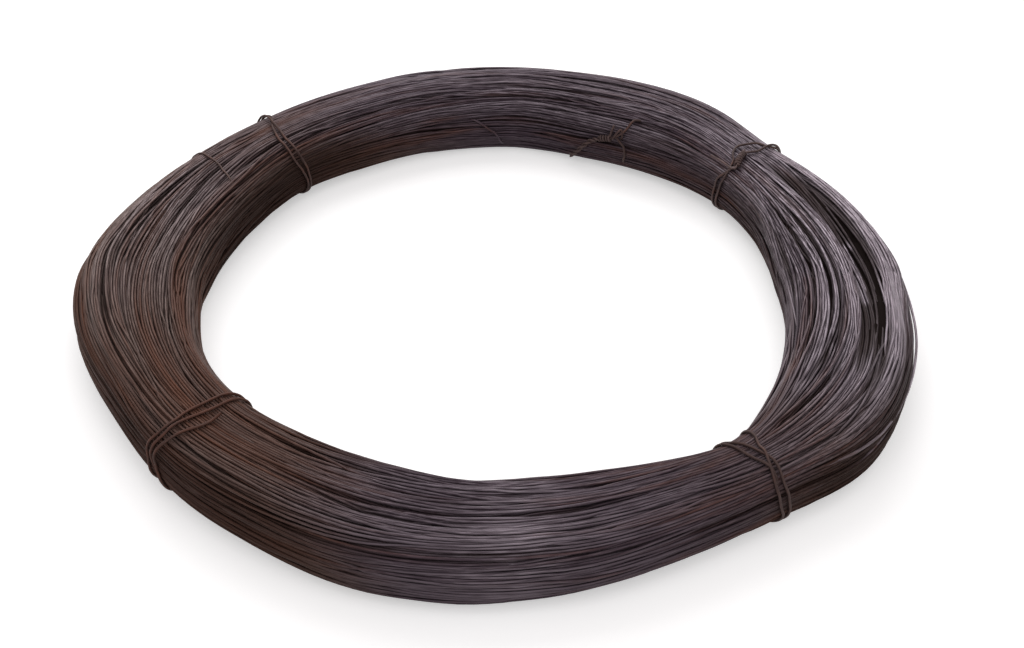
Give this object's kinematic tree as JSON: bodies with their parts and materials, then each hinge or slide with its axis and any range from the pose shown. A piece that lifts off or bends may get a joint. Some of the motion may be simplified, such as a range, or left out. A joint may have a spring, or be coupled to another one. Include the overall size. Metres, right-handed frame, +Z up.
{
  "type": "coil of binding wire",
  "caption": "Flat coil of dark annealed binding wire with a wide open bore, its turns drawn together by twisted wire ties and bulging between them.",
  "frame": {"origin": "middle of the coil's bore at floor level", "axes": "+Z up along the coil's axis, -Y towards the side seen from the front, +X to the right of that view"},
  "size_m": [0.4994, 0.487, 0.048],
  "materials": {
    "coil_wire": "dark annealed iron wire with a dull grey sheen and rust-brown streaks",
    "tie_wire": "dark annealed iron tie wire, slightly rusted"
  },
  "bodies": {
    "root": {"wire_coil": "coil_wire", "tie_back_right": "tie_wire", "tie_back_left": "tie_wire", "tie_front_left": "tie_wire", "tie_front_right": "tie_wire", "thin_tie": "tie_wire", "end_tie": "tie_wire"}
  },
  "joints": []
}
